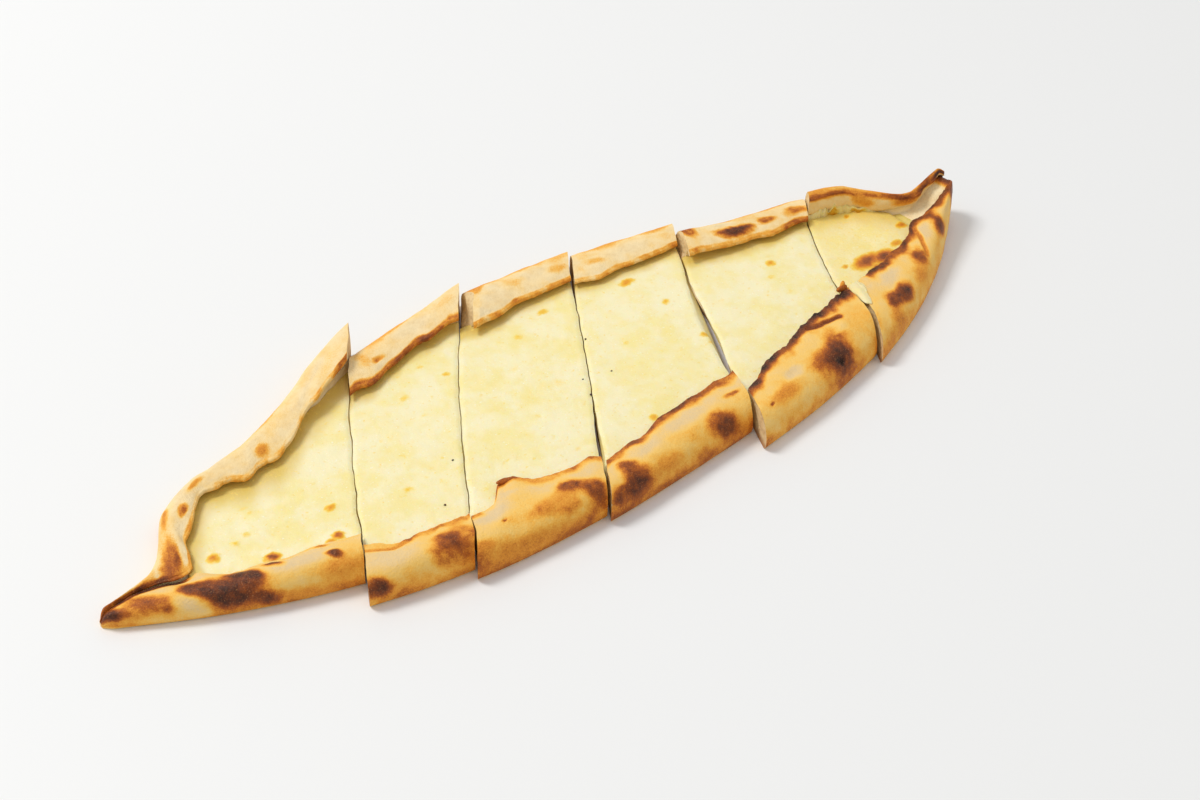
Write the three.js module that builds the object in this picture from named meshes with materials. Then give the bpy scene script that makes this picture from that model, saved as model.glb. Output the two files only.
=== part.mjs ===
// Cheese pide: a boat of flat dough whose long edges are folded over a filling of melted cheese,
// baked, cut on the skew into six slices that have slid a little along their cuts.
// Millimetres, +Z up. X runs from tip to tip, -Y is the near side, and the bread lies on z = 0.

import * as THREE from 'three';

// Outline of the whole boat before it is cut
const LEFT_TIP = -257;
const RIGHT_TIP = 252;
const BELLY_AT = -8;
const NEAR_BELLY = 70.5;
const NEAR_REACH = { left: 252, right: 263 };
const NEAR_FULLNESS = 2.7;
const FAR_BELLY = 86;
const FAR_BEND = 0.00135;
const SHOULDERS = [
  { at: -205, size: 6, spread: 20 },
  { at: -155, size: -5.5, spread: 34 },
  { at: 192, size: 13, spread: 45 },
];
const LEFT_PINCH = { tail: -244, body: -212, edge: 5 };
const RIGHT_PINCH = { tail: 228, body: 204, edge: 9 };

// A folded edge in section: a size in millimetres, and the most that it may be as a share of the
// section's width or height where the boat runs out to its tips
const FOOT_TUCK = { size: 2.5, most: 0.2 };
const WALL_HEIGHT = { size: 4.5, most: 0.35 };
const LIP_NOSE = { size: 0.6, most: 0.05 };
const LIP_OVERHANG = { size: 5, most: 0.3 };
const CLOSED_SEAM = { size: 1.2, most: 0.2 };
const LIP_DROP = { near: 2.6, far: 1.8, most: 0.15 };
const LIP_THICKNESS = 3.4;
const LIP_LEAST = 1;
const LIP_OVER_CHEESE = 0.9;
const LIP_OVER_FLOOR = 0.4;
const NEAR_CREST = 0.42;
const STANDING_WALL = 1;
const STANDING_OVERHANG = 0.5;
const SKEW_LIMIT = 0.6;
const FAR_RIPPLE_AT = 40;
const RIPPLES = [
  { size: 0.7, length: 33, start: 0 },
  { size: 0.7, length: 56, start: 2 },
  { size: 0.4, length: 19.5, start: 4 },
];

// Melted cheese
const CHEESE_LEVEL = 8;
const CHEESE_SWELL = 0.25;
const CHEESE_ROLL = { size: 0.15, across: 9, along: 7 };
const CHEESE_CLEARANCE = 0.3;

// Fineness of the solids
const RIB_SPACING = 5.5;
const WALL_STEPS = 4;
const FOLD_STEPS = 3;
const FLOOR_STEPS = 9;
const END_WAIST = 0.36;

// A rib is a line across the boat, given by its x on the near edge and its x on the far edge.
const CUTS = [[-171, -82], [-127, -11], [-62.5, 54], [26, 113], [116.5, 188]];
const LEFT_RIBS = [[LEFT_TIP, LEFT_TIP], [-222, -222]];
const RIGHT_RIBS = [[222, 222], [RIGHT_TIP, RIGHT_TIP]];

// Values along each slice, evenly spaced from its left end to its right end: the widths of the two
// folded rims, their tops, where the far rim's crest lies in its width, how far the far rim stands up
// instead of lying folded, the floor under the cheese, and the stretch of the slice that holds cheese.
// The faces at its two ends bow aside by the most given. A slice is slid along its left cut, opened
// from it by a gap, and turned, in degrees.
const SLICES = [
  {
    ribs: [...LEFT_RIBS, CUTS[0]], bows: [0, -3],
    slide: 0, gap: 0, turn: 0,
    nearRim: [6, 17, 19, 17, 19, 18.4, 19.2, 19.5, 20.5], nearTop: [7, 11, 13, 14, 14],
    farRim: [3, 3.5, 15, 19, 15, 20.5, 21.5, 20, 20.3], farTop: [7, 12, 14, 14, 21],
    farCrest: [0.42, 0.42, 0.42, 0.36, 0.15], farWall: [0, 0],
    floor: [4, 6.5, 4, 4, 4], cheese: [0.28, 1],
  },
  {
    ribs: [CUTS[0], CUTS[1]], bows: [-3, -3.5],
    slide: 13, gap: 0.9, turn: 0,
    nearRim: [25, 20, 20.4, 20.9, 21.8, 19], nearTop: [14, 15, 15],
    farRim: [23.5, 25.5, 24, 21.5, 23.5, 24.6], farTop: [14, 13.5, 16],
    farCrest: [0.42, 0.4, 0.18], farWall: [0, 0],
    floor: [4, 4], cheese: [0, 1],
  },
  {
    ribs: [CUTS[1], CUTS[2]], bows: [-3.5, 0.5],
    slide: 5.5, gap: 0.9, turn: 0,
    nearRim: [20.7, 20.5, 30, 33.5, 30.5, 27.8, 26.3, 25.9, 26.3, 25, 21], nearTop: [15, 15, 15],
    farRim: [24.5, 27, 27.4, 25, 26.3, 25.6], farTop: [15, 14, 13.5],
    farCrest: [0.25, 0.42, 0.4], farWall: [0, 0],
    floor: [4, 4], cheese: [0, 1],
  },
  {
    ribs: [CUTS[2], CUTS[3]], bows: [0.5, -3.5],
    slide: 3.5, gap: 1.2, turn: 0,
    nearRim: [21.6, 24, 26.4, 27, 26.5, 28.5], nearTop: [15, 15.5, 15],
    farRim: [25, 26, 25, 21.5], farTop: [13, 13, 13.5],
    farCrest: [0.42, 0.42], farWall: [0, 0],
    floor: [4, 4], cheese: [0, 1],
  },
  {
    ribs: [CUTS[3], CUTS[4]], bows: [-1.5, -5],
    slide: 12, gap: 1.2, turn: 0.4,
    nearRim: [25, 29.6, 31.5, 33.5, 31, 28.5], nearTop: [15, 16, 16.5],
    farRim: [22.3, 21, 24, 24.6, 24.2, 21.6], farTop: [15.5, 14, 13.8],
    farCrest: [0.22, 0.4, 0.42], farWall: [0, 0],
    floor: [4, 4], cheese: [0, 1],
  },
  {
    ribs: [CUTS[4], ...RIGHT_RIBS], bows: [-5, 0],
    slide: 5, gap: 1.2, turn: 0,
    nearRim: [33, 29.8, 26.3, 22, 20, 16.8, 11, 6.3, 3.5], nearTop: [16, 15.5, 16, 19, 22],
    farRim: [11, 9, 5.5, 4, 3.5], farTop: [20.5, 21.5, 20, 21, 26],
    farCrest: [0.42, 0.42], farWall: [9, 8, 6, 2, 0],
    floor: [4, 4, 4.5, 11, 17], cheese: [0, 0.6],
  },
];

const { clamp, lerp, smoothstep, degToRad } = THREE.MathUtils;

const crust = { color: 0xe2ad5f, roughness: 0.62, metalness: 0 };
const filling = { color: 0xf1e7b4, roughness: 0.38, metalness: 0 };

function nearEdge(x) {
  const reach = x < BELLY_AT ? NEAR_REACH.left : NEAR_REACH.right;
  return NEAR_BELLY * (Math.abs((x - BELLY_AT) / reach) ** NEAR_FULLNESS - 1);
}

// The far edge is a shallow arc with a shoulder near each end and a hollow beside the left one,
// pinched in to a narrow tail.
function farEdge(x) {
  const arc = FAR_BELLY - FAR_BEND * (x - BELLY_AT) ** 2;
  const swell = ({ at, size, spread }) => size * Math.exp(-(((x - at) / spread) ** 2));
  const body = SHOULDERS.reduce((sum, shoulder) => sum + swell(shoulder), arc);
  const fromLeft = lerp(LEFT_PINCH.edge, body, smoothstep(x, LEFT_PINCH.tail, LEFT_PINCH.body));
  return lerp(RIGHT_PINCH.edge, fromLeft, smoothstep(-x, -RIGHT_PINCH.tail, -RIGHT_PINCH.body));
}

function ripple(x) {
  const wave = ({ size, length, start }) => size * Math.sin((2 * Math.PI * x) / length + start);
  return RIPPLES.reduce((sum, one) => sum + wave(one), 0);
}

// A size held to its share of a width or a height.
function held({ size, most }, whole) {
  return Math.min(size, most * whole);
}

// A smooth curve through evenly spaced values, read at a share of the way along.
function valueAt(values, share) {
  const curve = new THREE.SplineCurve(values.map((value, i) => new THREE.Vector2(i, value)));
  return curve.getPoint(share).y;
}

// A rim's width is measured square to its edge, so along a skewed rib it is longer.
function widthAlongRib(width, edge, x, along) {
  const slope = edge(x + 1) - edge(x - 1);
  const tangent = new THREE.Vector2(2, slope).normalize();
  return width / Math.max(SKEW_LIMIT, Math.abs(along.cross(tangent)));
}

// The point at a share of the way through a chain of ribs, as the x on both edges.
function ribAt(chain, share) {
  const lengths = chain.slice(1).map(([near, far], i) => (near - chain[i][0] + far - chain[i][1]) / 2);
  let rest = share * lengths.reduce((sum, length) => sum + length, 0);
  let step = 0;
  while (step < lengths.length - 1 && rest > lengths[step]) {
    rest -= lengths[step];
    step += 1;
  }
  const part = Math.min(1, rest / lengths[step]);
  return [0, 1].map((side) => lerp(chain[step][side], chain[step + 1][side], part));
}

function chainLength(chain) {
  const first = chain[0];
  const last = chain[chain.length - 1];
  return (last[0] - first[0] + last[1] - first[1]) / 2;
}

// How far a point on a rib stands to the right of it, from the bows of the slice's two cuts. The cut on
// the left has slid, so its bow is read as far back as the slice has moved.
function bowAt(slice, share, span) {
  const arch = (x) => Math.sin(Math.PI * clamp(x / span, 0, 1));
  const [left, right] = slice.bows;
  return (x) => lerp(left * arch(x - slice.slide), right * arch(x), share);
}

// Everything about one rib of a slice: where it lies, and the sizes of its two rims.
function ribFacts(slice, share) {
  const [nearX, farX] = ribAt(slice.ribs, share);
  const start = new THREE.Vector2(nearX, nearEdge(nearX));
  const end = new THREE.Vector2(farX, farEdge(farX));
  const span = start.distanceTo(end);
  const along = end.clone().sub(start).normalize();
  const nearRim = valueAt(slice.nearRim, share) + ripple(nearX);
  const farRim = valueAt(slice.farRim, share) + ripple(farX + FAR_RIPPLE_AT);
  const nearWidth = widthAlongRib(nearRim, nearEdge, nearX, along);
  const farWidth = widthAlongRib(farRim, farEdge, farX, along);
  const squeeze = Math.min(1, (span - held(CLOSED_SEAM, span)) / (nearWidth + farWidth));
  const opening = span - squeeze * (nearWidth + farWidth);
  const floor = valueAt(slice.floor, share);
  const rim = (fullWidth, top, crestPlace, drop, wall) => {
    const width = fullWidth * squeeze;
    const lip = top - held({ size: drop, most: LIP_DROP.most }, top);
    const nose = held(LIP_NOSE, width);
    const overFloor = lerp(floor, lip, LIP_OVER_FLOOR);
    const overCheese = Math.min(CHEESE_LEVEL + LIP_OVER_CHEESE, lip - LIP_LEAST);
    const underside = Math.max(lip - LIP_THICKNESS - wall, overFloor, overCheese);
    const overhang = wall > STANDING_WALL ? STANDING_OVERHANG : held(LIP_OVERHANG, opening);
    const pocket = width - nose - overhang;
    return { width, top, crest: crestPlace * width, lip, underside, nose, pocket };
  };
  const [nearTop, farTop] = [valueAt(slice.nearTop, share), valueAt(slice.farTop, share)];
  const near = rim(nearWidth, nearTop, NEAR_CREST, LIP_DROP.near, 0);
  const farCrest = valueAt(slice.farCrest, share);
  const far = rim(farWidth, farTop, farCrest, LIP_DROP.far, valueAt(slice.farWall, share));
  return { start, along, span, floor, near, far, bow: bowAt(slice, share, span) };
}

// One folded rim in section, as distances in from the outer edge and heights: from the foot up the
// rounded wall, over the crest, down to the lip, and back under the lip to the floor.
function rimSection({ width, top, crest, lip, underside, nose, pocket }, floor) {
  const wallTop = held(WALL_HEIGHT, top);
  const tuck = held(FOOT_TUCK, width);
  const points = [[tuck, 0], [tuck / 8, wallTop / 3]];
  for (let i = 0; i <= WALL_STEPS; i += 1) {
    const angle = (i / WALL_STEPS) * (Math.PI / 2);
    points.push([crest * (1 - Math.cos(angle)), lerp(wallTop, top, Math.sin(angle))]);
  }
  for (let i = 1; i <= FOLD_STEPS; i += 1) {
    const share = i / FOLD_STEPS;
    points.push([lerp(crest, width - nose, share), lerp(top, lip, share * share)]);
  }
  points.push([width, (lip + underside) / 2]);
  points.push([width - nose, underside]);
  points.push([pocket, underside]);
  points.push([pocket, floor]);
  return points.map(([inward, height]) => new THREE.Vector2(inward, height));
}

// A line from one point to another in even steps, dished in the middle, with or without its ends.
function dished(from, to, depth, withEnds) {
  const points = [];
  const first = withEnds ? 0 : 1;
  for (let i = first; i <= FLOOR_STEPS - first; i += 1) {
    const share = i / FLOOR_STEPS;
    const point = from.clone().lerp(to, share);
    point.y -= depth * Math.sin(Math.PI * share);
    points.push(point);
  }
  return points;
}

// A section of the dough. A waist draws its floor and its base towards each other by a share of the
// thickness between them.
function doughSection(facts, share, waist) {
  const near = rimSection(facts.near, facts.floor);
  const far = rimSection(facts.far, facts.floor).reverse();
  far.forEach((point) => point.setX(facts.span - point.x));
  const draw = waist * facts.floor;
  const floor = dished(near[near.length - 1], far[0], draw, false);
  const base = dished(far[far.length - 1], near[0], -draw, false);
  return [...near, ...floor, ...far, ...base];
}

function cheeseSection(facts, share, waist) {
  const left = facts.near.pocket + CHEESE_CLEARANCE;
  const right = facts.span - facts.far.pocket - CHEESE_CLEARANCE;
  const level = CHEESE_LEVEL - CHEESE_SWELL;
  const bottom = facts.floor + CHEESE_CLEARANCE;
  const draw = waist * (level - bottom);
  const sag = draw - 2 * CHEESE_SWELL;
  const top = dished(new THREE.Vector2(left, level), new THREE.Vector2(right, level), sag, true);
  for (const [i, point] of top.entries()) {
    const turn = (CHEESE_ROLL.across * i) / FLOOR_STEPS + CHEESE_ROLL.along * share;
    point.y += CHEESE_ROLL.size * Math.sin(turn);
  }
  const under = dished(new THREE.Vector2(right, bottom), new THREE.Vector2(left, bottom), -draw, true);
  return [...top, ...under];
}

// A closed skin over a row of sections that all have as many points. The ends are parted into triangles
// on a waisted copy of the section, so that no triangle reaches along the floor past its next point.
function loft(sections) {
  const count = sections[0].profile.length;
  const positions = [];
  for (const { start, along, bow, profile } of sections) {
    for (const { x, y } of profile) {
      const aside = bow(x);
      positions.push(start.x + along.x * x + along.y * aside, start.y + along.y * x - along.x * aside, y);
    }
  }
  const faces = [];
  for (let ring = 0; ring < sections.length - 1; ring += 1) {
    for (let i = 0; i < count; i += 1) {
      const here = ring * count + i;
      const next = ring * count + ((i + 1) % count);
      faces.push(here, here + count, next + count);
      faces.push(here, next + count, next);
    }
  }
  const last = sections.length - 1;
  for (const [ring, facing] of [[0, -1], [last, 1]]) {
    const { waisted } = sections[ring];
    for (const triangle of THREE.ShapeUtils.triangulateShape(waisted, [])) {
      const area = THREE.ShapeUtils.area(triangle.map((i) => waisted[i]));
      const [a, b, c] = triangle.map((i) => i + ring * count);
      faces.push(...(area * facing > 0 ? [a, b, c] : [a, c, b]));
    }
  }
  const geometry = new THREE.BufferGeometry();
  geometry.setAttribute('position', new THREE.Float32BufferAttribute(positions, 3));
  geometry.setIndex(faces);
  geometry.computeVertexNormals();
  return geometry;
}

function sectionsOf(slice, [from, to], sectionAt) {
  const steps = Math.ceil(chainLength(slice.ribs) / RIB_SPACING);
  const sections = [];
  for (let i = Math.round(from * steps); i <= Math.round(to * steps); i += 1) {
    const share = i / steps;
    const facts = ribFacts(slice, share);
    const profile = sectionAt(facts, share, 0);
    sections.push({ ...facts, profile, waisted: sectionAt(facts, share, END_WAIST) });
  }
  return sections;
}

function namedMesh(name, sections, finish) {
  const mesh = new THREE.Mesh(loft(sections), new THREE.MeshStandardMaterial(finish));
  mesh.name = name;
  return mesh;
}

// Each slice slides towards the near side along the cut on its left, and takes the later ones along.
const loaf = new THREE.Group();
let carrier = loaf;
SLICES.forEach((slice, i) => {
  const cut = ribFacts(slice, 0);
  const across = new THREE.Vector2(cut.along.y, -cut.along.x);
  const corner = cut.start.clone().addScaledVector(cut.along, cut.span);
  const place = corner.clone().addScaledVector(cut.along, -slice.slide).addScaledVector(across, slice.gap);
  const hinge = new THREE.Group();
  hinge.position.set(place.x, place.y, 0);
  hinge.rotation.z = degToRad(slice.turn);
  const body = new THREE.Group();
  body.position.set(-corner.x, -corner.y, 0);
  body.add(namedMesh(`dough_${i + 1}`, sectionsOf(slice, [0, 1], doughSection), crust));
  body.add(namedMesh(`cheese_${i + 1}`, sectionsOf(slice, slice.cheese, cheeseSection), filling));
  hinge.add(body);
  carrier.add(hinge);
  carrier = body;
});

// The line from tip to tip is turned onto X, and the bread is centred over the origin.
loaf.updateMatrixWorld(true);
const leftTip = new THREE.Vector3(LEFT_TIP, nearEdge(LEFT_TIP), 0);
const rightTip = carrier.localToWorld(new THREE.Vector3(RIGHT_TIP, nearEdge(RIGHT_TIP), 0));
loaf.rotation.z = -Math.atan2(rightTip.y - leftTip.y, rightTip.x - leftTip.x);
const pide = new THREE.Group();
pide.add(loaf);
pide.updateMatrixWorld(true);
const middle = new THREE.Box3().setFromObject(pide, true).getCenter(new THREE.Vector3());
loaf.position.set(-middle.x, -middle.y, 0);

export default pide;
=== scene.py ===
import math
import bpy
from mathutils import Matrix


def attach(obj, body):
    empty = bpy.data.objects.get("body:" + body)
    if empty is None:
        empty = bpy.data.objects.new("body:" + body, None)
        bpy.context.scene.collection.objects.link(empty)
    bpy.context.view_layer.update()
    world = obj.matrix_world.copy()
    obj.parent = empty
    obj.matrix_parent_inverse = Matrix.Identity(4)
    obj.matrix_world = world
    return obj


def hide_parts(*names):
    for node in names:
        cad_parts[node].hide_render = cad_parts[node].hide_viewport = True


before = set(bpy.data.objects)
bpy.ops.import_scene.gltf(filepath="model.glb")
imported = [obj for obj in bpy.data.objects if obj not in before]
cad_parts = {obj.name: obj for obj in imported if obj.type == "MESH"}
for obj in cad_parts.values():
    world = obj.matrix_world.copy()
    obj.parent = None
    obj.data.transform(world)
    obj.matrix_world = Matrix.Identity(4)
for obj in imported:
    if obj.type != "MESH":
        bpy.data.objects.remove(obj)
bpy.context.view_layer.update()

from types import SimpleNamespace

import bmesh
import bpy
from mathutils import Matrix, Vector, noise

# Cheese pide: slices of dough with browned folded edges, and melted cheese between the edges.
# Shapes are worked out in millimetres and stored in metres.
mm = 0.001
sides = ("near", "far")


def mix(a, b, share):
    return a + (b - a) * share


def clamp(share):
    return min(1.0, max(0.0, share))


def ease(value, low, high):
    share = clamp((value - low) / (high - low))
    return share * share * (3 - 2 * share)


def held(size, whole):  # a size, capped to its share of a width or height
    return min(size[0], size[1] * whole)


def wander(x, y, z=0.0):  # smooth noise between about -1 and 1
    return noise.noise(Vector((x, y, z)))


def drift(row, x, y, seed):  # three noises at once, from two lengths and a start
    x, y, z = x / row[0], y / row[1], seed + row[2]
    return Vector((wander(x, y, z), wander(x + 31.7, y, z), wander(x, y + 47.3, z)))


def waves(rows, x, y, seed):  # noises added up, each with its size, two lengths and start
    return sum(size * wander(x / long, y / wide, seed + start) for size, long, wide, start in rows)


def curveValue(values, share):  # smooth curve through evenly spaced values
    place = share * (len(values) - 1)
    step = min(int(place), len(values) - 2)
    t = place - step
    a, b = values[step], values[step + 1]
    leave = (b - values[max(step - 1, 0)]) / 2
    arrive = (values[min(step + 2, len(values) - 1)] - a) / 2
    bend = (2 * a - 2 * b + leave + arrive) * t + 3 * b - 3 * a - 2 * leave - arrive
    return bend * t * t + leave * t + a


def lineAway(points, x, y):  # distance to a chain of points
    nearest = math.inf
    for (ax, ay), (bx, by) in zip(points, points[1:]):
        dx, dy = bx - ax, by - ay
        t = clamp(((x - ax) * dx + (y - ay) * dy) / (dx * dx + dy * dy))
        nearest = min(nearest, math.hypot(x - ax - t * dx, y - ay - t * dy))
    return nearest


def turned(degrees, axis="Z"):
    return Matrix.Rotation(math.radians(degrees), 4, axis)


# Outline of the whole bread before it was cut, and how the loaf lies in the frame
boat = {
    "bellyAt": -8, "nearBelly": 70.5, "nearReachLeft": 252, "nearReachRight": 263, "nearFullness": 2.7,
    "farBelly": 86, "farBend": 0.00135,
    "shoulders": [(-205, 6, 20), (-155, -5.5, 34), (192, 13, 45)],  # at, size, spread
    "leftPinch": {"tail": -244, "body": -212, "edge": 5},
    "rightPinch": {"tail": 228, "body": 204, "edge": 9},
    "turn": 3.96719, "shift": (10.0228, 13.3665),
    "tipRound": 4, "tipLeast": 0.4, "tipDrop": 0.85, "tipArea": 120,
}


def nearEdge(x):
    reach = boat["nearReachLeft"] if x < boat["bellyAt"] else boat["nearReachRight"]
    return boat["nearBelly"] * (abs((x - boat["bellyAt"]) / reach) ** boat["nearFullness"] - 1)


def farEdge(x):
    body = boat["farBelly"] - boat["farBend"] * (x - boat["bellyAt"]) ** 2
    for at, size, spread in boat["shoulders"]:
        body += size * math.exp(-(((x - at) / spread) ** 2))
    left, right = boat["leftPinch"], boat["rightPinch"]
    body = mix(left["edge"], body, ease(x, left["tail"], left["body"]))
    return mix(right["edge"], body, ease(-x, -right["tail"], -right["body"]))


cuts = [(-171, -82), (-127, -11), (-62.5, 54), (26, 113), (116.5, 188)]  # x on the near and far edge

# What a slice has unless it says otherwise. Tabs are at, half length and reach, tears are at, reach before
# it, reach after it and fade, flakes are share along the near lip, way past it, half sizes, turn and tone
usualSlice = {
    "slide": 0, "gap": 0, "turn": 0, "floor": [4, 4], "cheese": (0, 1), "flakes": [],
    "open": [0, 0],  # how far the cut on the left gapes, near to far
    "aside": [0, 0],  # how far both faces of that cut stand to the right
    "under": [0, 0], "lean": 0,  # how far its foot and its far corner stand back
}
usualSide = {"Crest": [0.42, 0.42], "Wall": [0, 0], "Sink": [0, 0], "Jag": 1, "Tabs": [], "Tears": []}
usualSlice |= {side + name: value for side in sides for name, value in usualSide.items()}

# Rims, tops, crests and floors run evenly along a slice from its left end to its right one
slices = [
    {
        "ribs": [(-260, -260), (-222, -222), cuts[0]], "bows": (0, -3),
        "nearRim": [6, 17, 19, 17, 19, 18.4, 19.2, 19.5, 20.5], "nearTop": [7, 11, 13, 14, 14],
        "farRim": [3, 3.5, 15, 19, 15, 20.5, 21.5, 20, 20.3], "farTop": [7, 12, 14, 14, 21],
        "farCrest": [0.42, 0.42, 0.42, 0.36, 0.15], "floor": [4, 6.5, 4, 4, 4], "cheese": (0.28, 1),
        "nearSink": [0, 0, 1.6, 2.4, 2.2, 2, 1.6], "farTabs": [(-192, 12, -4.5), (-153, 18, -3)],
    },
    {
        "ribs": [cuts[0], cuts[1]], "bows": (-3, -3.5), "slide": 13, "gap": 0.9,
        "nearRim": [25, 20, 20.4, 20.9, 21.8, 19], "nearTop": [14, 15, 15], "nearJag": 1.8,
        "farRim": [23.5, 25.5, 24, 21.5, 23.5, 24.6], "farTop": [14, 13.5, 16],
        "farCrest": [0.42, 0.4, 0.18], "open": [0, -0.2, -0.15, -0.25, -0.2, -0.1, -0.25, 0],
    },
    {
        "ribs": [cuts[1], cuts[2]], "bows": (-3.5, 0.5), "slide": 5.5, "gap": 0.9,
        "nearRim": [23.2, 25, 30, 33.5, 30.5, 27.8, 26.3, 25.9, 26.3, 25, 21], "nearTop": [15, 15, 15],
        "farRim": [24.5, 27, 27.4, 25, 26.3, 25.6], "farTop": [15, 14, 13.5], "farCrest": [0.25, 0.42, 0.4],
        "nearSink": [0.4, 1.6, 2.2, 0.6, 0, 0, 0, 0, 0, 0, 0], "nearTears": [(-114.5, -3, 7, 6)],
        "open": [0.1, -0.2, -0.2, -0.1, -0.25, -0.2, -0.25, -0.2, 0], "lean": 6.5,
        "flakes": [(0.262, -1.3, (4.4, 1.5, 1.1), -18, 0.72)],
    },
    {
        "ribs": [cuts[2], cuts[3]], "bows": (0.5, -3.5), "slide": 3.5, "gap": 1.2,
        "nearRim": [21.6, 24, 26.4, 27, 26.5, 28.5], "nearTop": [15, 15.5, 15],
        "farRim": [25, 26, 25, 21.5], "farTop": [13, 13, 13.5],
        "open": [0.1, 0.2, 0.7, 0.1, -0.35, -0.4, -0.35, -0.4, -0.2, 0.4, 0.1],
    },
    {
        "ribs": [cuts[3], cuts[4]], "bows": (-2.9, -5), "slide": 12, "gap": 1.2, "turn": 0.4,
        "nearRim": [25, 29.6, 31.5, 33.5, 31, 28.5], "nearTop": [15, 16, 16.5], "nearJag": 2,
        "farRim": [22.3, 21, 24, 24.6, 24.2, 21.6], "farTop": [15.5, 14, 13.8],
        "farCrest": [0.22, 0.4, 0.42],
        "open": [0.2, -0.3, -0.35, -0.1, 0.8, 1.3, 0.8, -0.1, -0.4, -0.4, -0.2],
        "under": [0, 0, 0.3, 1.6, 2.8, 3.2, 2.8, 1.6, 0.4, 0, 0], "lean": 2.5,
        "flakes": [(0.978, 0.3, (3.4, 1.3, 1.8), -10, 0.7), (0.992, 0.8, (2.4, 1.3, 2.8), 25, 0.56)],
    },
    {
        "ribs": [cuts[4], (222, 222), (252, 252)], "bows": (-5, 0), "slide": 5, "gap": 1.2,
        "nearRim": [33, 29.8, 26.3, 22, 20, 16.8, 11, 6.3, 3.5], "nearTop": [16, 15.5, 16, 19, 22],
        "farRim": [11, 9, 5.5, 4, 3.5], "farTop": [20.5, 21.5, 20, 21, 26], "farWall": [9, 8, 6, 2, 0],
        "floor": [4, 4, 4.5, 11, 21.6], "cheese": (0, 0.68),
        "open": [0, 0.1, 0.6, 1, 0, -0.3, -0.3, -0.35, -0.3, -0.35, -0.3, -0.3, -0.2],
        "aside": [0.5, 2, 3.4, 3.2, 0.3, 0, 0, 0, 0, 0, 0, 0, 0],
    },
]
slices = [{**usualSlice, **wedge} for wedge in slices]

# A folded edge in section, with the share that caps each size towards the tips
fold = {
    "tuck": (2.5, 0.2), "wallHeight": (4.5, 0.35), "nose": (1.3, 0.08), "overhang": (5, 0.3),
    "seam": (0.3, 0.05), "nearDrop": (2.6, 0.15), "farDrop": (1.8, 0.15),
    "thickness": 2.3, "least": 1, "leastWidth": 2, "overCheese": 1.5, "overFloor": 0.4,
    "standing": 1, "standingOverhang": 0.5, "skewLimit": 0.6, "farRippleAt": 40, "tearFlank": (-2.5, 1),
    "ripples": [(0.7, 33, 0), (0.7, 56, 2), (0.4, 19.5, 4)],  # size, length, start
    "jag": [(0.6, 6.5), (0.35, 2.2)],  # size and length of the lip's unevenness
}

# The filling, with its unevenness as size, two lengths and start
cheese = {
    "level": 8, "swell": 0.25, "clearance": 0.3, "endDrop": 0.6, "endRound": 2, "endRelief": 0.2,
    "relief": [(0.25, 17, 15, 0), (0.11, 5.5, 4.5, 2), (0.045, 1.9, 1.6, 4)],
    "fray": [(0.6, 1.6, 1.6, 31), (0.8, 3.5, 3.5, 37)], "paintedShadeFray": [(2, 9, 9, 53)],
    "spotFade": (0.1, 1.35), "spotRise": (0.1, 1.1), "speck": (0.55, 0.45, 0.4), "speckLift": 0.2,
}

# How finely the skins are divided
skin = {
    "ribSpacing": 0.65, "foot": 4, "wall": 24, "fold": 34, "nose": 10, "under": 3,
    "pocket": 2, "floor": 8, "base": 24, "cheeseSpacing": 0.85, "merge": 0.0001,
    "crumbSpacing": 1.6, "crumbRise": 1.4, "crumbRows": 18, "crumbGrain": 1.6,
}


def ripple(x):
    return sum(size * math.sin(2 * math.pi * x / length + start) for size, length, start in fold["ripples"])


# How far the lip reaches past its smooth line: unevenness, tabs and tears
def lipReach(wedge, side, x):
    reach = sum(size * wander(x / length, side * 7.3, size * 9) for size, length in fold["jag"])
    reach *= wedge[sides[side] + "Jag"]
    for at, half, size in wedge[sides[side] + "Tabs"]:
        reach += size * (1 - ease(abs(x - at) / half, 0, 1))
    for at, before, after, fade in wedge[sides[side] + "Tears"]:
        reach += mix(before, after, ease(x - at, *fold["tearFlank"])) * math.exp(-abs(x - at) / fade)
    return reach


def ribAt(chain, share):  # x on the near and far edge
    lengths = [(b[0] - a[0] + b[1] - a[1]) / 2 for a, b in zip(chain, chain[1:])]
    rest = share * sum(lengths)
    step = 0
    while step < len(lengths) - 1 and rest > lengths[step]:
        rest -= lengths[step]
        step += 1
    part = min(1, rest / lengths[step])
    return [mix(chain[step][side], chain[step + 1][side], part) for side in (0, 1)]


def sliceLength(wedge):
    first, last = wedge["ribs"][0], wedge["ribs"][-1]
    return (last[0] - first[0] + last[1] - first[1]) / 2


def skewAt(edge, x, along):  # how squarely a rib crosses an edge, 1 for square
    tangent = Vector((2, edge(x + 1) - edge(x - 1))).normalized()
    return max(fold["skewLimit"], abs(along.cross(tangent)))


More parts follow.
